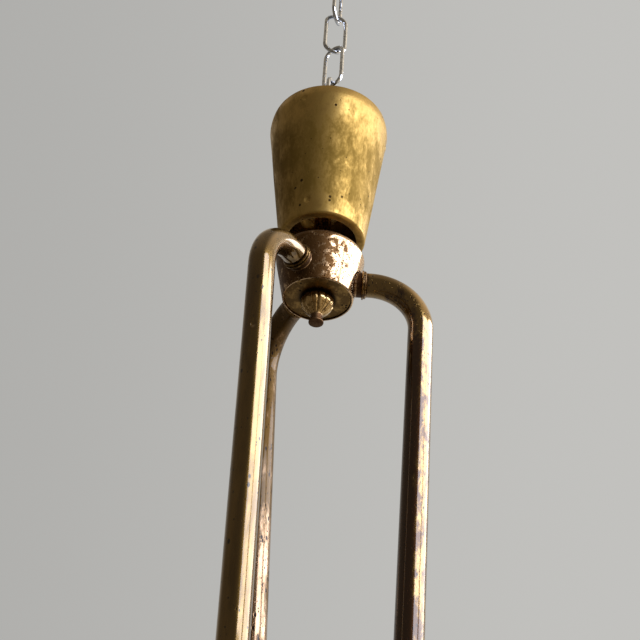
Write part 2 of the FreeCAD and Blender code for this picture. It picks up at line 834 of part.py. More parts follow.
def build_terminal_block():
    """The ceramic connector inside the hub, standing on the cover."""
    depth, width, height = size("block_depth"), size("block_width"), size("block_height")
    box = DOCUMENT.addObject("Part::Box", "terminal_box")
    box.setExpression("Length", depth.formula)
    box.setExpression("Width", width.formula)
    box.setExpression("Height", height.formula)
    box.setExpression("Placement", placement((size("block_near"), -width / 2, 0)))
    sides = (-1, 1)
    screw_depth = size("block_screw_depth")
    screw_length = screw_depth + size("block_screw_proud")
    shape = box
    for number, side in enumerate(sides, start=1):
        hole = rod(f"terminal_hole_{number}", size("block_screw_radius") + size("thread_gap"), height)
        place = (
            size("block_near") + depth / 2,
            side * size("block_screw_spacing") / 2,
            height - screw_depth,
        )
        hole.setExpression("Placement", placement(place))
        cut = DOCUMENT.addObject("Part::Cut", f"terminal_cut_{number}")
        cut.Base, cut.Tool = shape, hole
        shape = cut
    bottom = hub_bottom() + size("cover_inset") + size("cover_thickness")
    azimuth = size("block_azimuth")
    put("terminal_block", shape, (0, 0, bottom), heading(azimuth))
    for number, side in enumerate(sides, start=1):
        screw = rod(f"terminal_screw_{number}", size("block_screw_radius"), screw_length)
        away = size("block_near") + depth / 2
        across = side * size("block_screw_spacing") / 2
        place = (
            away * cosine(azimuth) - across * sine(azimuth),
            away * sine(azimuth) + across * cosine(azimuth),
            bottom + height - screw_depth,
        )
        put(f"terminal_screw_{number}", screw, place)


# ---------------------------------------------------------------- canopy


def build_canopy():
    """A spun cup, open at the top, whose lower edge is turned in round a wide mouth."""
    body = new_body("canopy")
    wall, corner = size("canopy_wall"), size("canopy_corner")
    bottom, widest, rim = size("canopy_bottom_radius"), size("canopy_radius"), size("canopy_rim_radius")
    mouth, side = size("canopy_mouth_radius"), size("canopy_cone_height")
    curl = size("canopy_rim_height")
    lean_in = widest - rim
    curl_radius = (curl * curl + lean_in * lean_in) / (2 * lean_in)
    top = side + curl
    turn(
        body,
        "cup",
        [
            (mouth, 0),
            (bottom - corner, 0),
            (canopy_radius_at(corner), corner, corner),
            (widest, side),
            (rim, top, curl_radius),
            (rim - wall, top, wall / 2 * FULL_ROUND),
            (widest - wall, side, wall - curl_radius),
            (canopy_radius_at(wall + corner) - wall, wall + corner),
            (bottom - corner - wall, wall, -corner),
            (mouth, wall),
        ],
    )
    put("canopy", body, (0, 0, hub_bottom() + size("canopy_mouth")))

    body = new_body("canopy_bridge")
    above_mouth = size("bridge_height") - size("canopy_mouth")
    edge = canopy_radius_at(above_mouth) - wall - size("bridge_gap")
    bore = size("stem_radius") + size("slide_gap")
    thickness, sleeve = size("bridge_thickness"), size("bridge_sleeve_radius")
    height = thickness + size("bridge_sleeve")
    turn(
        body,
        "disc",
        [
            (bore, 0),
            (edge, 0),
            (edge, thickness),
            (sleeve, thickness),
            (sleeve, height),
            (bore, height),
        ],
    )
    place = (size("bridge_hole_circle"), 0, -thickness)
    hole = cut_hole(body, "wiring_hole", size("bridge_hole"), 3 * thickness, place)
    DOCUMENT.recompute()
    repeat_round(body, "wiring_holes", [hole], size("bridge_hole_count"))
    put("canopy_bridge", body, (0, 0, hub_bottom() + size("bridge_height")))


# ---------------------------------------------------------------- arms and lamp holders


def tube_start():
    """Distance of the arm tube's end from the axis: it seats in the collar."""
    collar = size("collar_flange") + size("collar_bead")
    return boss_reach() + collar - size("collar_socket")


def bend_start():
    return boss_reach() + size("collar_flange") + size("collar_bead") + size("arm_run")


def arm_path(first, extra_leg, lean):
    """Centreline of an arm: straight out, a bend past the vertical, then the leaning leg."""
    out = bend_start()
    bend = size("arm_circle") - out
    joint = (out + bend * cosine(lean), -bend - bend * sine(lean))
    leg = size("arm_leg") + extra_leg
    end = (joint[0] - leg * sine(lean), joint[1] - leg * cosine(lean))
    return [(first, 0), (out, 0), (joint[0], joint[1], -bend), end]


def build_arm(number):
    azimuth = size("arm_azimuth") + 360 / size("arm_count") * (number - 1)
    lean = size(f"arm_lean_{number}")
    height = hub_bottom() + size("arm_height")
    outward = f"{heading(azimuth)} * rotationy(90)"
    reach, flange, bead = boss_reach(), size("collar_flange"), size("collar_bead")
    nipple, bore, gap = size("nipple_radius"), size("nipple_bore"), size("bore_gap")
    tube_bore = size("arm_radius") - size("arm_wall")
    spigot = tube_bore - size("spigot_gap")

    body = new_body(f"arm_collar_{number}")
    edge, rim = collar_radius(), size("arm_radius") + size("bead_lip")
    seat = size("arm_radius") + size("thread_gap")
    groove = edge - flange
    step = flange / 4
    face = reach + flange + bead
    floor = face - size("collar_socket")
    turn(
        body,
        "ring",
        [
            (nipple + gap, reach),
            (edge - step, reach),
            (edge, reach + step),
            (edge, reach + flange - step),
            (edge - step, reach + flange),
            (groove, reach + flange),
            (groove, reach + flange + step),
            (rim - step, reach + flange + step),
            (rim, reach + flange + bead / 2, bead),
            (rim - bead / 2, face, bead),
            (seat, face),
            (seat, floor),
            (nipple + gap, floor),
        ],
    )
    put(f"arm_collar_{number}", body, (0, 0, height), outward)

    body = new_body(f"arm_nipple_{number}")
    inside = size("boss_inside") - size("arm_nut_height") - size("nipple_tail")
    turn(
        body,
        "nipple",
        [
            (bore, inside),
            (nipple, inside),
            (nipple, floor),
            (spigot, floor),
            (spigot, floor + size("nipple_spigot")),
            (bore, floor + size("nipple_spigot")),
        ],
    )
    put(f"arm_nipple_{number}", body, (0, 0, height), outward)

    nut = hexagon_nut(
        f"arm_nut_{number}", size("arm_nut_flats"), size("arm_nut_height"), nipple + size("thread_gap")
    )
    away = size("boss_inside") - size("arm_nut_height")
    put(f"arm_nut_{number}", nut, (away * cosine(azimuth), away * sine(azimuth), height), outward)

    body = new_body(f"arm_tube_{number}")
    sweep(
        body,
        "tube",
        arm_path(tube_start(), 0, lean),
        False,
        "YZ_Plane",
        tube_start(),
        [size("arm_radius"), tube_bore],
    )
    put(f"arm_tube_{number}", body, (0, 0, height), heading(azimuth))

    body = new_body(f"arm_lead_{number}")
    sweep(
        body,
        "sheath",
        arm_path(size("lead_start"), size("core_depth"), lean),
        False,
        "YZ_Plane",
        size("lead_start"),
        [size("lead_radius")],
    )
    put(f"arm_lead_{number}", body, (0, 0, height), heading(azimuth))

    end_away, end_down = arm_path(tube_start(), 0, lean)[-1]
    place = (end_away * cosine(azimuth), end_away * sine(azimuth), height + end_down)
    build_lamp_holder(number, place, f"{heading(azimuth)} * rotationy({lean.formula})")


def build_lamp_holder(number, place, rotation):
    """A small screw lamp holder. Its +Z runs up the arm's leg from the end of the tube."""
    nipple, bore = size("nipple_radius"), size("nipple_bore")
    spigot = size("arm_radius") - size("arm_wall") - size("spigot_gap")

    body = new_body(f"holder_nipple_{number}")
    turn(
        body,
        "nipple",
        [
            (bore, -size("holder_thread")),
            (nipple, -size("holder_thread")),
            (nipple, 0),
            (spigot, 0),
            (spigot, size("holder_spigot")),
            (bore, size("holder_spigot")),
        ],
    )
    put(f"holder_nipple_{number}", body, place, rotation)

    body = new_body(f"holder_cap_{number}")
    top, outside, wall = size("cap_top_radius"), size("cap_radius"), size("cap_wall")
    shoulder, rounding = -size("cap_height"), size("cap_round")
    skirt_outside = outside - size("sleeve_wall") - size("thread_gap")
    skirt_end = shoulder - size("cap_skirt")
    hole = nipple + size("thread_gap")
    turn(
        body,
        "cap",
        [
            (hole, -wall),
            (top - wall, -wall),
            (skirt_outside - wall, shoulder, -rounding - wall),
            (skirt_outside - wall, skirt_end),
            (skirt_outside, skirt_end),
            (skirt_outside, shoulder),
            (outside, shoulder),
            (top, 0, rounding + wall),
            (hole, 0),
        ],
    )
    put(f"holder_cap_{number}", body, place, rotation)

    body = new_body(f"holder_sleeve_{number}")
    inside = outside - size("sleeve_wall")
    end, bead = shoulder - size("sleeve_length"), size("sleeve_bead")
    turn(
        body,
        "sleeve",
        [
            (inside, shoulder),
            (inside, end),
            (outside, end),
            (outside, end + 2 * bead, bead * FULL_ROUND),
            (outside, shoulder),
        ],
    )
    put(f"holder_sleeve_{number}", body, place, rotation)

    body = new_body(f"holder_core_{number}")
    core, depth = skirt_outside - wall - size("thread_gap"), -size("core_depth")
    base, length = depth - size("core_base"), depth - size("core_length")
    inner, thickness = size("shell_radius"), size("shell_wall")
    room = inner + thickness + size("shell_room")
    contact, height = size("contact_radius"), size("contact_height")
    pocket = contact + size("contact_gap")
    edge = wall
    turn(
        body,
        "core",
        [
            (0, depth),
            (0, base + height),
            (pocket, base + height),
            (pocket, base),
            (room, base),
            (room, length),
            (core - edge, length),
            (core, length + edge, edge),
            (core, depth - edge),
            (core - edge, depth, edge),
        ],
    )
    put(f"holder_core_{number}", body, place, rotation)

    body = new_body(f"holder_shell_{number}")
    flange = room - size("flange_gap")
    turn(
        body,
        "shell",
        [
            (inner, base - size("shell_length")),
            (inner + thickness, base - size("shell_length")),
            (inner + thickness, base - thickness),
            (flange, base - thickness),
            (flange, base),
            (inner, base),
        ],
    )
    put(f"holder_shell_{number}", body, place, rotation)

    body = new_body(f"holder_contact_{number}")
    turn(
        body,
        "contact",
        [
            (0, base + height),
            (0, base),
            (contact - edge, base),
            (contact, base + edge, edge),
            (contact, base + height),
        ],
    )
    put(f"holder_contact_{number}", body, place, rotation)


# ---------------------------------------------------------------- check and write


def check_document():
    """Stop if any object failed or any sub-part isn't one sound solid."""
    faults = [
        item.Name
        for item in DOCUMENT.Objects
        if "Invalid" in item.State or "Error" in item.State
    ]
    for node, piece in NODES.items():
        shape = piece.Shape
        if shape.isNull() or not shape.isValid() or len(shape.Solids) != 1:
            faults.append(node)
        elif shape.Volume < SMALLEST_VOLUME:
            faults.append(f"{node} has no volume")
    if faults:
        raise RuntimeError("faulty objects: " + ", ".join(faults))


def write_parts():
    os.makedirs("parts", exist_ok=True)
    for node, piece in NODES.items():
        piece.Shape.exportStep(f"parts/{node}.step")


def main():
    fill_sheet()
    build_ceiling_plate()
    build_ceiling_hook()
    build_chain()
    build_eye()
    build_stem()
    build_stop_collar()
    build_hub()
    build_finial()
    build_terminal_block()
    build_canopy()
    for number in range(1, int(size("arm_count").value) + 1):
        build_arm(number)
    DOCUMENT.recompute()
    check_document()
    write_parts()
    print(len(NODES), "nodes written")


main()
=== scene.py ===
"""Looks for a brass three-arm pendant lamp that hangs on a zinc-plated chain.

Metres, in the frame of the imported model: the origin is the centre of the ceiling plate's top
face and +Z points up. Sizes below are in millimetres and are turned to metres by MM.
"""
import json
import math

import bpy
from mathutils import Matrix, Vector

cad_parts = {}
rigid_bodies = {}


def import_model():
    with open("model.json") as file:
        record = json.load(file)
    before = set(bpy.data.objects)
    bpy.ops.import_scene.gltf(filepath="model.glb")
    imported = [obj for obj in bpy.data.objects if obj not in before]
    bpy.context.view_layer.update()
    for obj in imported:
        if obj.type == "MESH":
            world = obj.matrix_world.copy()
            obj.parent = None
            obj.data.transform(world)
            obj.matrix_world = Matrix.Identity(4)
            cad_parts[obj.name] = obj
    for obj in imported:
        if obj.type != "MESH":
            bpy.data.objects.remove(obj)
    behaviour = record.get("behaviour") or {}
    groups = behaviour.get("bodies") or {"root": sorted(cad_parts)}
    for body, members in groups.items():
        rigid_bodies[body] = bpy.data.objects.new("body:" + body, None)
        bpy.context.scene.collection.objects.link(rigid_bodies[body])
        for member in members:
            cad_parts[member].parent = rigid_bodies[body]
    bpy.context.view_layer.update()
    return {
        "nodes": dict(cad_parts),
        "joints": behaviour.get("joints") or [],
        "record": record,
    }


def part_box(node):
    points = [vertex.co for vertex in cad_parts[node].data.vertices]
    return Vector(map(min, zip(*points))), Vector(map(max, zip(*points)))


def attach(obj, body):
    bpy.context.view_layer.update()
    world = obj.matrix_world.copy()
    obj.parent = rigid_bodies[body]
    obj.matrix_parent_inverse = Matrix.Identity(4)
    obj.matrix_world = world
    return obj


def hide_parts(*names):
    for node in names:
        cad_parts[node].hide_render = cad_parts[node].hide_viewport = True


MM = 0.001
UP = Vector((0, 0, 1))
WHOLE_TURN = 2 * math.pi
# How bright the walls look in a mirror, where white is 1: nearer than the lamp, beyond it, and
# what the wall with the windows adds.
NEAR_WALL, FAR_WALL, RIGHT_WALL = 0.15, 0.42, 0.5
# Depth of the fine unevenness of old metal, in millimetres.
GRAIN = 0.004

# The three arms: direction in plan and inward lean of the leg, in degrees.
ARMS = {1: (-1, 2.2), 2: (119, 5.6), 3: (239, 2.9)}

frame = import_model()
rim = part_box("hub_body")[0].z


# ---------------------------------------------------------------- view and light


def place_camera():
    """Below the hub and in front of it, looking up, as one sees a lamp from beside a table."""
    distance, look_up = 565.9 * MM, math.radians(38.67)
    yaw, pitch, roll = (math.radians(angle) for angle in (-0.22, -1.13, 3.89))
    ahead = Vector((0, math.cos(look_up), math.sin(look_up)))
    side = Vector((1, 0, 0))
    axes = Matrix((side, side.cross(ahead), -ahead)).transposed()
    turn = Matrix.Rotation(yaw, 3, "Y") @ Matrix.Rotation(pitch, 3, "X") @ Matrix.Rotation(roll, 3, "Z")
    lens = bpy.data.cameras.new("view")
    lens.lens = 56.73
    lens.sensor_width = 36
    lens.clip_start, lens.clip_end = 0.01, 50
    camera = bpy.data.objects.new("view", lens)
    bpy.context.scene.collection.objects.link(camera)
    place = Vector((0, 0, rim)) - ahead * distance
    camera.matrix_world = Matrix.Translation(place) @ (axes @ turn).to_4x4()
    bpy.context.scene.camera = camera


def keep_plain_colours():
    """Colours as they are, without a film curve, so that a highlight clips as it does in life."""
    bpy.context.scene.view_settings.view_transform = "Standard"


def linear(code):
    """An sRGB hex colour as linear red, green, blue and alpha."""
    channels = [int(code[at : at + 2], 16) / 255 for at in (1, 3, 5)]
    return (*(c / 12.92 if c <= 0.04045 else ((c + 0.055) / 1.055) ** 2.4 for c in channels), 1)


def add_node(tree, kind, feeds=None, **settings):
    """Add a node with its settings. feeds gives each input a value, a node or a node's socket."""
    made = tree.nodes.new(kind)
    for name, value in settings.items():
        setattr(made, name, value)
    for name, feed in (feeds or {}).items():
        if isinstance(feed, bpy.types.Node):
            feed = next(socket for socket in feed.outputs if socket.enabled)
        live = [socket for socket in made.inputs if socket.enabled]
        entry = live[name] if isinstance(name, int) else next(s for s in live if s.name == name)
        if isinstance(feed, bpy.types.NodeSocket):
            tree.links.new(feed, entry)
        else:
            entry.default_value = feed
    return made


def light_room():
    """A grey room. Metal mirrors its warm dark near side, its pale far wall and the softboxes."""
    world = bpy.data.worlds.new("room")
    bpy.context.scene.world = world
    world.use_nodes = True
    tree = world.node_tree
    tree.nodes.clear()
    direction = add_node(tree, "ShaderNodeTexCoord").outputs["Generated"]
    way = add_node(tree, "ShaderNodeSeparateXYZ", {"Vector": direction}).outputs
    wall_tone = add_node(
        tree,
        "ShaderNodeMapRange",
        {"Value": way["X"], "From Min": -0.45, "From Max": 0.35, "To Min": 0.43, "To Max": 0.55},
        interpolation_type="SMOOTHSTEP",
    )
    wall = add_node(
        tree, "ShaderNodeBackground", {"Color": linear("#fdfcf8"), "Strength": wall_tone}
    )
    far = add_node(
        tree,
        "ShaderNodeMapRange",
        {"Value": way["Y"], "From Min": 0.15, "From Max": 0.95},
        interpolation_type="SMOOTHSTEP",
    )
    tint = add_node(
        tree,
        "ShaderNodeMix",
        {"Factor": far, "A": linear("#ffe9c8"), "B": linear("#fdf8f0")},
        data_type="RGBA",
    )
    level = add_node(tree, "ShaderNodeMapRange", {"Value": far, "To Min": NEAR_WALL, "To Max": FAR_WALL})
    height = add_node(
        tree,
        "ShaderNodeMapRange",
        {"Value": way["Z"], "From Min": 0.55, "From Max": 0.95, "To Min": 1, "To Max": 2.1},
        interpolation_type="SMOOTHSTEP",
    )
    lit_wall = add_node(
        tree,
        "ShaderNodeMapRange",
        {"Value": way["X"], "From Min": 0.15, "From Max": 0.6, "To Max": RIGHT_WALL},
        interpolation_type="SMOOTHSTEP",
    )
    walls = add_node(tree, "ShaderNodeMath", {0: level, 1: lit_wall})
    strength = add_node(tree, "ShaderNodeMath", {0: walls, 1: height}, operation="MULTIPLY")
    mirrored = add_node(tree, "ShaderNodeBackground", {"Color": tint, "Strength": strength})
    glossy = add_node(tree, "ShaderNodeLightPath").outputs["Is Glossy Ray"]
    mixed = add_node(tree, "ShaderNodeMixShader", {0: glossy, 1: wall, 2: mirrored})
    add_node(tree, "ShaderNodeOutputWorld", {"Surface": mixed})


def add_softbox(name, azimuth, elevation, width, height, radiance, distance=1.3):
    """A rectangular light aimed at the hub; azimuth is from +Y towards +X, all in degrees."""
    light = bpy.data.lights.new(name, "AREA")
    light.shape = "RECTANGLE"
    light.size = 2 * distance * math.tan(math.radians(width / 2))
    light.size_y = 2 * distance * math.tan(math.radians(height / 2))
    light.energy = radiance * math.pi * light.size * light.size_y
    light.color = linear("#eef2ff")[:3]
    round_, up = math.radians(azimuth), math.radians(elevation)
    away = Vector((math.sin(round_) * math.cos(up), math.cos(round_) * math.cos(up), math.sin(up)))
    box = bpy.data.objects.new(name, light)
    box.location = Vector((0, 0, rim)) + away * distance
    box.rotation_euler = away.to_track_quat("Z", "Y").to_euler()
    bpy.context.scene.collection.objects.link(box)


def light_softboxes():
    """Two windows side by side to the right, with a narrow dark post between them."""
    elevation, height, radiance = 23.5, 32, 7
    for name, azimuth, width in (("window_near", 141, 34), ("window_far", 91, 50)):
        add_softbox(name, azimuth, elevation, width, height, radiance)


def lay_floor():
    """A pale floor well below the lamp, which brightens it from below but isn't mirrored."""
    width, drop = 8, 1.6
    bpy.ops.object.select_all(action="DESELECT")
    bpy.ops.mesh.primitive_plane_add(size=width, location=(0, 0, -drop))
    floor = bpy.context.object
    floor.name = "floor"
    floor.visible_glossy = False
    material = bpy.data.materials.new("pale_floor")
    material.use_nodes = True
    shader = material.node_tree.nodes["Principled BSDF"]
    shader.inputs["Base Color"].default_value = linear("#d9d6d0")
    shader.inputs["Roughness"].default_value = 0.9
    floor.data.materials.append(material)


# ---------------------------------------------------------------- finishes


def new_finish(name):
    """A material with its tree, its shader and the place on the object, in metres."""
    material = bpy.data.materials.new(name)
    material.use_nodes = True
    tree = material.node_tree
    place = add_node(tree, "ShaderNodeTexCoord").outputs["Object"]
    return material, tree, tree.nodes["Principled BSDF"], place


def per_mm(size):
    """The scale at which a pattern repeats every so many millimetres."""
    return 1 / (size * MM)


def scatter_pits(tree, place, spacing, share, length):
    """Small pits on a jittered grid, length times as long as wide: 1 in a pit, 0 outside.

    spacing is in millimetres and only a share of the cells has a pit.
    """
    drawn_out = add_node(tree, "ShaderNodeMapping", {"Vector": place, "Scale": (1, 1, 1 / length)})
    cells = add_node(
        tree,
        "ShaderNodeTexVoronoi",
        {"Vector": drawn_out, "Scale": per_mm(spacing), "Randomness": 0.9},
    ).outputs
    inside = add_node(
        tree,
        "ShaderNodeMapRange",
        {"Value": cells["Distance"], "From Min": 0.18, "From Max": 0.34, "To Min": 1, "To Max": 0},
        interpolation_type="SMOOTHSTEP",
    )
    lot = add_node(tree, "ShaderNodeSeparateColor", {"Color": cells["Color"]}).outputs["Red"]
    chosen = add_node(tree, "ShaderNodeMath", {0: lot, 1: 1 - share}, operation="GREATER_THAN")
    return add_node(tree, "ShaderNodeMath", {0: inside, 1: chosen}, operation="MULTIPLY")


def change_with_height(tree, place, start, end, at_start, at_end):
    """A value that goes smoothly from at_start to at_end between two heights in metres."""
    height = add_node(tree, "ShaderNodeSeparateXYZ", {"Vector": place}).outputs["Z"]
    return add_node(
        tree,
        "ShaderNodeMapRange",
        {"Value": height, "From Min": start, "From Max": end, "To Min": at_start, "To Max": at_end},
        interpolation_type="SMOOTHSTEP",
    )


def aged_metal(
    name,
    clean,
    tarnished,
    pit,
    gloss,
    patch,
    tarnish,
    pitting,
    streak=1,
    soft=0.1,
    more_where=None,
    grime_and_shade_where=None,
    pit_depth=0.08,
    lacquer=0,
):
    """Bare metal with patches of tarnish, small pits and, if lacquer is over 0, old lacquer.

    clean, tarnished and pit are colours, and gloss holds the roughness of the first two. patch
    is the size of a patch in millimetres, streak how much longer it is along the axis, tarnish
    the share of the surface that is dull and soft the width of its edge. pitting is (spacing in
    millimetres, share of cells with a pit, length over width). more_where gives a node that
    adds to the tarnish; on the left sides of the hub and the right arm that is painted shade too.
    grime_and_shade_where gives one that is 1 where the colour goes as dark as a pit: on the
    finial's neck, round the finial's seat as painted shade, and on the arm bosses as dirt and painted
    shade.
    """
    # The fine mottle: its size in patches and its share beside them. Two noises that lie round
    # a half then add up to the average, and the level where tarnish starts is set from there.
    mottle_size, mottle_share, spread = 0.2, 0.45, 0.4
    average = 0.5 + 0.5 * mottle_share
    freckle_size, freckle_share, pit_gloss = 0.42, 0.8, 0.6
    material, tree, shader, place = new_finish(name)
    along = add_node(tree, "ShaderNodeMapping", {"Vector": place, "Scale": (1, 1, 1 / streak)})
    patches = add_node(
        tree,
        "ShaderNodeTexNoise",
        {"Vector": along, "Scale": per_mm(patch), "Detail": 8, "Roughness": 0.6, "Distortion": 0.4},
    )
    mottle = add_node(
        tree,
        "ShaderNodeTexNoise",
        {"Vector": along, "Scale": per_mm(patch * mottle_size), "Detail": 6, "Roughness": 0.65},
    )
    mixed = add_node(
        tree, "ShaderNodeMath", {0: mottle, 1: mottle_share, 2: patches}, operation="MULTIPLY_ADD"
    )
    # Extra tarnish; on the left sides of the hub and the right arm it is painted shade as well.
    if more_where is not None:
        mixed = add_node(tree, "ShaderNodeMath", {0: mixed, 1: more_where(tree, place)})
    edge = average + (0.5 - tarnish) * spread
    dull = add_node(
        tree,
        "ShaderNodeMapRange",
        {"Value": mixed, "From Min": edge - soft, "From Max": edge + soft},
        interpolation_type="SMOOTHSTEP",
    )
    spacing, share, length = pitting
    pits = scatter_pits(tree, place, spacing, share, length)
    freckles = scatter_pits(tree, place, spacing * freckle_size, share * freckle_share, length)
    marks = add_node(tree, "ShaderNodeMath", {0: pits, 1: freckles}, operation="MAXIMUM")
    # Pit-dark marks: on the finial's neck, painted shade round the finial's seat, dirt and painted shade
    # on the arm bosses.
    if grime_and_shade_where is not None:
        grime_and_shade = grime_and_shade_where(tree, place)
        marks = add_node(tree, "ShaderNodeMath", {0: marks, 1: grime_and_shade}, operation="MAXIMUM")
    skin = add_node(
        tree,
        "ShaderNodeMix",
        {"Factor": dull, "A": linear(clean), "B": linear(tarnished)},
        data_type="RGBA",
    )
    colour = add_node(
        tree, "ShaderNodeMix", {"Factor": marks, "A": skin, "B": linear(pit)}, data_type="RGBA"
    )
    tree.links.new(colour.outputs[2], shader.inputs["Base Color"])
    sheen = add_node(
        tree, "ShaderNodeMapRange", {"Value": dull, "To Min": gloss[0], "To Max": gloss[1]}
    )
    pit_rough = add_node(tree, "ShaderNodeMath", {0: marks, 1: pit_gloss}, operation="MULTIPLY")
    rough = add_node(tree, "ShaderNodeMath", {0: sheen, 1: pit_rough}, operation="MAXIMUM")
    tree.links.new(rough.outputs[0], shader.inputs["Roughness"])
    grain = add_node(tree, "ShaderNodeMath", {0: mottle, 1: GRAIN / pit_depth}, operation="MULTIPLY")
    relief = add_node(tree, "ShaderNodeMath", {0: grain, 1: marks}, operation="SUBTRACT")
    bump = add_node(
        tree, "ShaderNodeBump", {"Strength": 1, "Distance": pit_depth * MM, "Height": relief}
    )
    tree.links.new(bump.outputs[0], shader.inputs["Normal"])
    shader.inputs["Metallic"].default_value = 1
    shader.inputs["Coat Weight"].default_value = lacquer
    shader.inputs["Coat Roughness"].default_value = 0.06
    shader.inputs["Coat IOR"].default_value = 1.8
    return material


def tarnish_and_shade_towards(direction, least, most):
    """Tarnish that grows from least to most on surfaces that look the given way; used on the left sides,
    which mirror the room's dark side, it is painted shade as well as tarnish.
    """

    def add_tarnish_and_shade(tree, place):
        normal = add_node(tree, "ShaderNodeTexCoord").outputs["Normal"]
        facing = add_node(
            tree,
            "ShaderNodeVectorMath",
            {0: normal, 1: Vector(direction).normalized()},
            operation="DOT_PRODUCT",
        ).outputs["Value"]
        return add_node(
            tree,
            "ShaderNodeMapRange",
            {"Value": facing, "From Min": -0.2, "From Max": 0.9, "To Min": least, "To Max": most},
            interpolation_type="SMOOTHSTEP",
        )

    return add_tarnish_and_shade


def canopy_brass():
    """Brass spun from sheet: golden, dull in soft streaks between the rubbed rim and foot."""
    low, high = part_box("canopy")
    span = high.z - low.z

    def between_rims(tree, place):
        at_rim = change_with_height(
            tree, place, low.z + 0.6 * span, low.z + 0.85 * span, 0.14, -0.12
        )
        at_foot = change_with_height(
            tree, place, low.z + 0.02 * span, low.z + 0.24 * span, -0.2, 0
        )
        return add_node(tree, "ShaderNodeMath", {0: at_rim, 1: at_foot})

    return aged_metal(
        "canopy_brass", "#c0a05e", "#806830", "#3a2a14", (0.26, 0.7), 7, 0.6,
        (3.4, 0.03, 1.2), streak=2.2, soft=0.34, more_where=between_rims, pit_depth=0.04,
    )


def distance_from_axis(tree, place):
    """How far a point lies from the lamp's axis, in metres."""
    flat = add_node(tree, "ShaderNodeMapping", {"Vector": place, "Scale": (1, 1, 0)})
    return add_node(tree, "ShaderNodeVectorMath", {0: flat}, operation="LENGTH").outputs["Value"]


def hub_brass():
    """Cast brass, polished once: clean metal between pits, darker on the left side as painted shade, and
    near pit-dark on the bosses of the arms as dirt and painted shade by the collars.
    """
    low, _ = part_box("hub_body")
    rim_radius, shoulder_radius, side_height = 19.9 * MM, 25.6 * MM, 27.6 * MM
    taper = (shoulder_radius - rim_radius) / side_height

    def grime_and_shade_on_bosses(tree, place):
        # Dirt and painted shade: the part of each boss that stands proud of the tapered side, by the
        # collars, goes near pit-dark.
        height = add_node(tree, "ShaderNodeSeparateXYZ", {"Vector": place}).outputs["Z"]
        side = add_node(
            tree,
            "ShaderNodeMath",
            {0: height, 1: taper, 2: rim_radius - taper * low.z},
            operation="MULTIPLY_ADD",
        )
        reach = distance_from_axis(tree, place)
        proud = add_node(tree, "ShaderNodeMath", {0: reach, 1: side}, operation="SUBTRACT")
        return add_node(
            tree,
            "ShaderNodeMapRange",
            {"Value": proud, "From Min": 0.2 * MM, "From Max": 0.7 * MM, "To Max": 0.92},
        )

    # The left-front side gets more tarnish as painted shade, where the metal mirrors the room's dark
    # side.
    return aged_metal(
        "hub_brass", "#cdb08c", "#5c4226", "#3a2212", (0.13, 0.5), 3.6, 0.44,
        (1.5, 0.5, 1.1), more_where=tarnish_and_shade_towards((-1, -1.1, 0), -0.1, 0.17),
        grime_and_shade_where=grime_and_shade_on_bosses, pit_depth=0.12,
    )


def cover_brass():
    """A pressed cover, evenly dulled to olive brown, with painted shade, near black, in the corner round
    the finial.
    """

    def painted_shade_round_finial(tree, place):
        # Painted shade: the cover goes near black within about 12 mm of the axis, round the finial's
        # seat.
        return add_node(
            tree,
            "ShaderNodeMapRange",
            {
                "Value": distance_from_axis(tree, place),
                "From Min": 9.2 * MM,
                "From Max": 12 * MM,
                "To Min": 0.95,
                "To Max": 0,
            },
            interpolation_type="SMOOTHSTEP",
        )

    return aged_metal(
        "cover_brass", "#9a7c4a", "#705832", "#120b05", (0.28, 0.45), 6, 0.6, (2.4, 0.12, 1),
        grime_and_shade_where=painted_shade_round_finial,
    )


def finial_brass():
    """Turned brass: olive on the ball, reddish brown and dull on the neck and the button."""
    low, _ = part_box("finial")

    def on_neck(tree, place):
        return change_with_height(tree, place, low.z + 4.8 * MM, low.z + 5.8 * MM, 0.85, 0)

    return aged_metal(
        "finial_brass", "#c4a878", "#7c6238", "#4a2c1c", (0.14, 0.34), 3, 0.42, (1.6, 0.14, 1),
        grime_and_shade_where=on_neck, pit_depth=0.04,
    )


def collar_brass():
    """Turned brass, dulled in patches and pitted."""
    return aged_metal(
        "collar_brass", "#8f7448", "#4c3822", "#20150b", (0.18, 0.38), 3, 0.5, (1.6, 0.12, 1)
    )


def tube_brass_1():
    """Drawn brass tube: olive and mottled round the bend, brown and finely pitted below it, and darker
    on the side turned to the axis, which is painted shade.
    """
    _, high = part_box("arm_tube_1")

    def down_leg_and_shaded_side(tree, place):
        below_bend = change_with_height(
            tree, place, high.z - 80 * MM, high.z - 25 * MM, 0.1, -0.16
        )
        # Painted shade: more tarnish on the side facing left, towards the axis, where the tube mirrors
        # the room's dark side.
        shaded_inner_side = tarnish_and_shade_towards((-1, -0.4, 0), -0.1, 0.2)(tree, place)
        return add_node(tree, "ShaderNodeMath", {0: below_bend, 1: shaded_inner_side})

    return aged_metal(
        "tube_brass_1", "#8a6f3c", "#3a2210", "#24130b", (0.14, 0.34), 5, 0.45,
        (1.8, 0.24, 1.8), streak=2.5, soft=0.14, more_where=down_leg_and_shaded_side, pit_depth=0.05, lacquer=0.6,
    )


def tube_brass_2():
    """Drawn brass tube gone grey brown, pinkish and heavily pitted towards its lower end."""
    low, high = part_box("arm_tube_2")
    span = high.z - low.z

    def towards_hub(tree, place):
        return change_with_height(
            tree, place, low.z + 0.3 * span, low.z + 0.6 * span, -0.06, 0.16
        )

    return aged_metal(
        "tube_brass_2", "#967c62", "#55401f", "#20120c", (0.2, 0.5), 6, 0.5, (2.4, 0.42, 2),
        streak=4, soft=0.14, more_where=towards_hub, pit_depth=0.1, lacquer=0.2,
    )


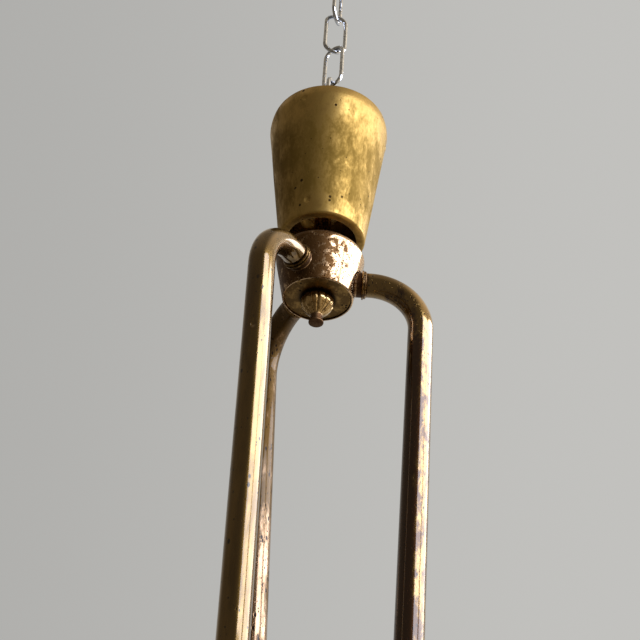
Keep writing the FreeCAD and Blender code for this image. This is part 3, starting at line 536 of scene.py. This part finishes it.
def tube_brass_3():
    """Drawn brass tube, olive under thin lacquer, with faint streaks along it and a few specks."""
    return aged_metal(
        "tube_brass_3", "#7d6434", "#59431c", "#2c1e0d", (0.12, 0.34), 7, 0.5, (3, 0.1, 1.6),
        streak=6, soft=0.2, pit_depth=0.03, lacquer=0.6,
    )


def old_brass():
    """Machined brass fittings, satin with age."""
    return aged_metal(
        "old_brass", "#c0a062", "#806440", "#3a2814", (0.22, 0.4), 5, 0.5, (2, 0.12, 1)
    )


def stem_brass():
    """Threaded brass, cleaner than the rest because it is shut away from the air."""
    return aged_metal(
        "stem_brass", "#d8b878", "#9a7a48", "#54401f", (0.2, 0.34), 5, 0.35, (2.4, 0.06, 1)
    )


def holder_brass():
    """Spun lamp-holder brass, satin with a few stains."""
    return aged_metal(
        "holder_brass", "#d2b06c", "#8b6d3e", "#4b3519", (0.2, 0.36), 8, 0.45, (2.6, 0.08, 1),
        streak=2,
    )


def zinc_steel():
    """Bright zinc plate on drawn wire: bluish white, with small dull patches."""
    return aged_metal(
        "zinc_steel", "#dde4f0", "#9aa0ac", "#54575e", (0.06, 0.2), 2.5, 0.35, (1.8, 0.06, 1)
    )


def dull_coat(name, pale, dark, dust, grain, grain_depth, rough):
    """An unpolished, non-metal skin: dust in patches and a fine grain, both sizes in mm."""
    material, tree, shader, place = new_finish(name)
    patches = add_node(
        tree, "ShaderNodeTexNoise", {"Vector": place, "Scale": per_mm(dust), "Detail": 6}
    )
    share = add_node(
        tree,
        "ShaderNodeMapRange",
        {"Value": patches, "From Min": 0.42, "From Max": 0.66},
        interpolation_type="SMOOTHSTEP",
    )
    colour = add_node(
        tree,
        "ShaderNodeMix",
        {"Factor": share, "A": linear(pale), "B": linear(dark)},
        data_type="RGBA",
    )
    tree.links.new(colour.outputs[2], shader.inputs["Base Color"])
    grains = add_node(
        tree, "ShaderNodeTexNoise", {"Vector": place, "Scale": per_mm(grain), "Detail": 3}
    )
    bump = add_node(
        tree, "ShaderNodeBump", {"Strength": 1, "Distance": grain_depth * MM, "Height": grains}
    )
    tree.links.new(bump.outputs[0], shader.inputs["Normal"])
    shader.inputs["Roughness"].default_value = rough
    return material, shader


def plate_steel():
    """Off-white stoving enamel on pressed steel: a smooth coat with a faint orange-peel."""
    material, shader = dull_coat("plate_steel", "#d6d2c8", "#c2bcae", 14, 1.6, 0.02, 0.34)
    shader.inputs["Coat Weight"].default_value = 0.3
    shader.inputs["Coat Roughness"].default_value = 0.15
    return material


def porcelain():
    """Unglazed white porcelain, dusty in the hollows, that lets a little light in."""
    material, shader = dull_coat("porcelain", "#dedad0", "#c4bcab", 5, 0.5, 0.015, 0.55)
    shader.inputs["Subsurface Weight"].default_value = 0.05
    shader.inputs["Subsurface Scale"].default_value = 1 * MM
    return material


def lead_sheath():
    """Black PVC over the lead's cores, matt, with dust along it."""
    return dull_coat("lead_sheath", "#1f1e1c", "#3a3734", 3, 0.7, 0.02, 0.6)[0]


# ---------------------------------------------------------------- modelling steps


def begin(name, primitive, **settings):
    """Add a primitive at its size and place as a new piece; it stays in edit mode, selected."""
    bpy.ops.object.select_all(action="DESELECT")
    primitive(**settings)
    piece = bpy.context.object
    piece.name = piece.data.name = name
    bpy.ops.object.mode_set(mode="EDIT")
    return piece


def apply_modifier(piece, kind, **settings):
    modifier = piece.modifiers.new(kind.lower(), kind)
    for name, value in settings.items():
        setattr(modifier, name, value)
    bpy.ops.object.modifier_apply(modifier=modifier.name)


def choose(piece, kind, test):
    """Go to edit mode with only those vertices or faces selected that pass the test."""
    bpy.ops.object.mode_set(mode="EDIT")
    bpy.ops.mesh.select_mode(type=kind)
    bpy.ops.mesh.select_all(action="DESELECT")
    bpy.ops.object.mode_set(mode="OBJECT")
    for item in piece.data.vertices if kind == "VERT" else piece.data.polygons:
        item.select = test(item)
    bpy.ops.object.mode_set(mode="EDIT")


def close_piece(piece, sharp=40):
    """Merge what lies together, face it outwards, leave edit mode and put the place in the mesh."""
    bpy.ops.mesh.select_all(action="SELECT")
    bpy.ops.mesh.remove_doubles(threshold=0.001 * MM)
    bpy.ops.mesh.normals_make_consistent(inside=False)
    bpy.ops.object.mode_set(mode="OBJECT")
    bpy.ops.object.transform_apply(location=True, rotation=True, scale=True)
    bpy.ops.object.shade_smooth_by_angle(angle=math.radians(sharp))
    return piece


def stand_for(piece, body, *nodes):
    """The piece replaces CAD nodes, takes their slot and finish, and rides on their body."""
    slot = slot_of[nodes[0]]
    piece.data.materials.clear()
    piece.data.materials.append(finish_of[slot])
    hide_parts(*nodes)
    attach(piece, body)


def draw_outline(name, points):
    """A chain of edges through (radius, height) points in metres, from one shrunken square."""
    start = Vector((points[0][0], 0, points[0][1]))
    piece = begin(name, bpy.ops.mesh.primitive_plane_add, size=MM, location=start)
    bpy.ops.mesh.merge(type="CENTER")
    for before, after in zip(points, points[1:]):
        step = (after[0] - before[0], 0, after[1] - before[1])
        bpy.ops.mesh.extrude_region_move(TRANSFORM_OT_translate={"value": step})
    return piece


def turn_outline(name, points, steps):
    """The outline turned round the lamp's axis, closed where its ends meet."""
    piece = draw_outline(name, points)
    bpy.ops.mesh.select_all(action="SELECT")
    bpy.ops.mesh.spin(steps=steps, angle=WHOLE_TURN, center=(0, 0, 0), axis=(0, 0, 1))
    return piece


def arc(centre, radius, first, last, steps):
    """Points on an arc about a (radius, height) centre, angles in degrees."""
    angles = [math.radians(first + (last - first) * step / steps) for step in range(steps + 1)]
    return [(centre[0] + radius * math.cos(a), centre[1] + radius * math.sin(a)) for a in angles]


# ---------------------------------------------------------------- new pieces


def knock(piece, middle, out, width, depth):
    """Push a small round patch of an outer wall out by depth, or in if it is negative."""
    rings, patch, least_facing = 5, 1.2 * width, 0.5
    choose(
        piece,
        "FACE",
        lambda face: (
            (face.center - middle).length < patch and face.normal.dot(out) > least_facing
        ),
    )
    bpy.ops.mesh.subdivide(number_cuts=rings)
    for ring in range(1, rings + 1):
        reach = width * (1 - ring / (rings + 1))
        choose(
            piece,
            "VERT",
            lambda point, reach=reach: (point.co - middle).length < reach and point.normal.dot(out) > 0,
        )
        bpy.ops.transform.translate(value=out * depth / rings)
    bpy.ops.object.mode_set(mode="OBJECT")


def make_canopy():
    """A cup spun from sheet: lower edge turned in, rim curled in, sides a little uneven."""
    low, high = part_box("canopy")
    wall, corner, curl_height = 1.3 * MM, 1.6 * MM, 7 * MM
    mouth, bottom, rim_radius = 20.3 * MM, 25.5 * MM, 36.6 * MM
    widest, floor, top = high.x, low.z, high.z
    side_steps, round_steps, side_lean = 36, 160, 8
    wave_length, wave_height = 24 * MM, 0.28 * MM
    curl_radius = (curl_height**2 + (widest - rim_radius) ** 2) / (2 * (widest - rim_radius))
    curl_angle = math.degrees(math.asin(curl_height / curl_radius))
    half = wall / 2

    corner_centre = (bottom - corner, floor + corner)
    outer_corner = arc(corner_centre, corner, -90, -side_lean, 5)
    foot = outer_corner[-1]
    shoulder = (widest, top - curl_height)

    def side(shift, way):
        """Points up the tapered side, shifted inwards by the wall for the inner face."""
        stations = range(1, side_steps)
        points = [
            (
                foot[0] + (shoulder[0] - foot[0]) * step / side_steps - shift,
                foot[1] + (shoulder[1] - foot[1]) * step / side_steps,
            )
            for step in stations
        ]
        return points[::way]

    curl_centre = (widest - curl_radius, shoulder[1])
    outline = [
        *arc((mouth + half, floor + half), half, 90, 270, 6),
        *outer_corner,
        *side(0, 1),
        *arc(curl_centre, curl_radius, 0, curl_angle, 5),
        *arc((rim_radius - half, top), half, 0, 180, 6)[1:],
        *arc(curl_centre, curl_radius - wall, curl_angle, 0, 5)[1:],
        *side(wall, -1),
        *arc(corner_centre, corner - wall, -side_lean, -90, 3),
    ]
    outline.append(outline[0])
    piece = turn_outline("canopy_cup", outline, round_steps)
    close_piece(piece)
    waves = bpy.data.textures.new("hammer_waves", "CLOUDS")
    waves.noise_scale = wave_length
    apply_modifier(
        piece, "DISPLACE", texture=waves, texture_coords="LOCAL", strength=wave_height, mid_level=0.5
    )
    # Knocks from a long life: direction in plan in degrees, then height above the lower edge,
    # width and depth in millimetres, where a depth over 0 stands out.
    knocks = (
        (-111.7, 9.8, 2.4, -0.9),
        (-115.6, 87.5, 2.2, -0.5),
        (-3, 81, 3, 0.6),
        (-18, 45, 4, -0.4),
    )
    flare = (widest - bottom) / (shoulder[1] - floor)
    for azimuth, height, width, depth in knocks:
        turn = math.radians(azimuth)
        out = Vector((math.cos(turn), math.sin(turn), 0))
        middle = out * (bottom + flare * height * MM) + UP * (floor + height * MM)
        knock(piece, middle, out, width * MM, depth * MM)
    stand_for(piece, "canopy", "canopy")


def make_chain_links():
    """Drawn wire bent round and butt-welded: the weld is a low swelling on one side."""
    low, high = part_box("chain_link_1")
    wire, width = 2.8 * MM, 17 * MM
    wire_sides, bow_steps = 20, 20
    length = high.z - low.z
    bow = (width - wire) / 2
    side = (length - 2 * bow - wire) / 2
    # Along the weld: how far on, in wires, and how thick against the plain wire.
    swellings = ((0.35, 1.0), (0.2, 1.06), (0.2, 1.1), (0.2, 1.06), (0.35, 1.0))

    begin(
        "link",
        bpy.ops.mesh.primitive_circle_add,
        vertices=wire_sides,
        radius=wire / 2,
        location=(bow, 0, -wire),
    )
    size = 1.0
    for step, swell in swellings:
        bpy.ops.mesh.extrude_region_move(TRANSFORM_OT_translate={"value": (0, 0, step * wire)})
        bpy.ops.transform.resize(value=(swell / size, swell / size, 1))
        size = swell
    grown = sum(step for step, _ in swellings) * wire
    rest = side - (grown - wire)
    bpy.ops.mesh.extrude_region_move(TRANSFORM_OT_translate={"value": (0, 0, rest)})
    bpy.ops.mesh.spin(steps=bow_steps, angle=math.pi, center=(0, 0, side), axis=(0, 1, 0))
    bpy.ops.mesh.extrude_region_move(TRANSFORM_OT_translate={"value": (0, 0, -2 * side)})
    bpy.ops.mesh.spin(steps=bow_steps, angle=math.pi, center=(0, 0, -side), axis=(0, 1, 0))
    bpy.ops.mesh.extrude_region_move(TRANSFORM_OT_translate={"value": (0, 0, side - wire)})
    pattern = close_piece(bpy.context.object)

    hinges = {joint["parent"]: joint["axis"] for joint in frame["joints"]}
    for number in (1, 2, 3, 4):
        low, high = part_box(f"chain_link_{number}")
        across = hinges[f"link_{number}"]
        azimuth = math.atan2(across[1], across[0])
        link = bpy.data.objects.new(f"link_{number}_wire", pattern.data.copy())
        bpy.context.scene.collection.objects.link(link)
        middle = Matrix.Translation((0, 0, (low.z + high.z) / 2))
        link.data.transform(middle @ Matrix.Rotation(azimuth, 4, "Z"))
        stand_for(link, f"link_{number}", f"chain_link_{number}")
    bpy.data.objects.remove(pattern)


def make_arm_tubes():
    """Drawn tube bent on a former: straight out of the collar, round, and down the leg."""
    above_rim = 12.5 * MM
    height = rim + above_rim
    radius, wall = 7 * MM, 1 * MM
    seat, bend_start, circle, leg = 26.2 * MM, 28.8 * MM, 57.7 * MM, 209 * MM
    bend = circle - bend_start
    round_steps, bend_steps, leg_steps = 72, 30, 36
    # The chip: how far down the leg, its turn from the outer side, its width and its depth.
    chip_arm, chip_share, chip_turn = 3, 0.205, math.radians(17.7)
    chip_width, chip_depth = 1.8 * MM, -0.9 * MM
    for number, (azimuth, lean) in ARMS.items():
        heading, lean = math.radians(azimuth), math.radians(lean)
        out = Vector((math.cos(heading), math.sin(heading), 0))
        side = UP.cross(out)
        centre = out * bend_start + UP * (height - bend)
        piece = begin(
            f"arm_{number}_pipe",
            bpy.ops.mesh.primitive_circle_add,
            vertices=round_steps,
            radius=radius,
            location=out * seat + UP * height,
            rotation=out.to_track_quat("Z", "Y").to_euler(),
        )
        bpy.ops.mesh.extrude_region_move(TRANSFORM_OT_translate={"value": out * (bend_start - seat)})
        bpy.ops.mesh.spin(steps=bend_steps, angle=-(math.pi / 2 + lean), center=centre, axis=side)
        down = -UP * math.cos(lean) - out * math.sin(lean)
        for _ in range(leg_steps):
            bpy.ops.mesh.extrude_region_move(
                TRANSFORM_OT_translate={"value": down * leg / leg_steps}
            )
        close_piece(piece)
        apply_modifier(piece, "SOLIDIFY", thickness=wall, offset=-1)
        if number == chip_arm:
            middle = centre + out * bend * math.cos(lean) - UP * bend * math.sin(lean)
            middle += down * chip_share * leg
            facing = out * math.cos(chip_turn) + side * math.sin(chip_turn)
            knock(piece, middle + facing * radius, facing, chip_width, chip_depth)
        stand_for(piece, "lamp", f"arm_tube_{number}")


def make_finial():
    """A turned ball with twelve filed flutes, running down to a neck and a button."""
    low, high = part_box("finial")
    ribs, steps_a_rib = 12, 12
    seat, neck, waist, button = 8.4 * MM, 3.5 * MM, 3.2 * MM, 4.2 * MM
    bore, grip, edge = 5.05 * MM, 5.05 * MM, 0.35 * MM
    button_height, neck_length = 1.5 * MM, 4.2 * MM
    neck_top = low.z + button_height + neck_length
    ball_height = high.z - neck_top
    # A ball's side from the seat, round the belly and in to the neck.
    belly = [
        (0.0, seat), (0.08, seat + 0.6 * MM), (0.2, seat + 0.95 * MM), (0.34, seat + 0.95 * MM),
        (0.48, seat + 0.5 * MM), (0.62, seat - 0.4 * MM), (0.75, seat - 1.7 * MM),
        (0.87, seat - 3.3 * MM), (0.95, seat - 4.5 * MM), (1.0, neck),
    ]
    widest = high.x
    side = [(min(radius, widest), high.z - share * ball_height) for share, radius in belly]
    button_middle = low.z + button_height / 2
    outline = [
        (0, high.z - grip),
        (bore, high.z - grip),
        (bore, high.z),
        *side,
        (waist + 0.2 * MM, neck_top - 0.5 * MM),
        (waist, neck_top - neck_length / 2),
        (waist + 0.3 * MM, low.z + button_height + 0.3 * MM),
        (button - 0.3 * MM, low.z + button_height),
        *arc((button - edge, button_middle + edge), edge, 90, 0, 3),
        *arc((button - edge, button_middle - edge), edge, 0, -90, 3),
        (0, low.z),
    ]
    piece = turn_outline("finial_ball", outline, ribs * steps_a_rib)
    close_piece(piece, 35)

    # Each flute is pressed in most along its middle line and less beside it.
    rib = WHOLE_TURN / ribs
    fluted_top, fluted_bottom = high.z - 0.06 * ball_height, neck_top + 0.02 * ball_height

    def steps_from_flute(point):
        along = math.atan2(point.co.y, point.co.x) % rib
        return round(min(along, rib - along) / rib * steps_a_rib)

    for beside, press in ((0, 0.925), (1, 0.965), (2, 0.99)):
        choose(
            piece,
            "VERT",
            lambda point, beside=beside: (
                fluted_bottom < point.co.z < fluted_top and steps_from_flute(point) == beside
            ),
        )
        bpy.ops.transform.resize(value=(press, press, 1), center_override=(0, 0, neck_top))
    bpy.ops.object.mode_set(mode="OBJECT")
    stand_for(piece, "lamp", "finial")


# ---------------------------------------------------------------- the whole lamp

place_camera()
keep_plain_colours()
light_room()
light_softboxes()
lay_floor()

slot_of = {part["node"]: part["material_slot"] for part in frame["record"]["subparts"]}
finish_of = {
    finish.__name__: finish()
    for finish in (
        canopy_brass, hub_brass, cover_brass, finial_brass, collar_brass, tube_brass_1,
        tube_brass_2, tube_brass_3, old_brass, stem_brass, holder_brass, zinc_steel,
        plate_steel, porcelain, lead_sheath,
    )
}
for node, shape in frame["nodes"].items():
    shape.data.materials.clear()
    shape.data.materials.append(finish_of[slot_of[node]])

make_canopy()
make_chain_links()
make_arm_tubes()
make_finial()
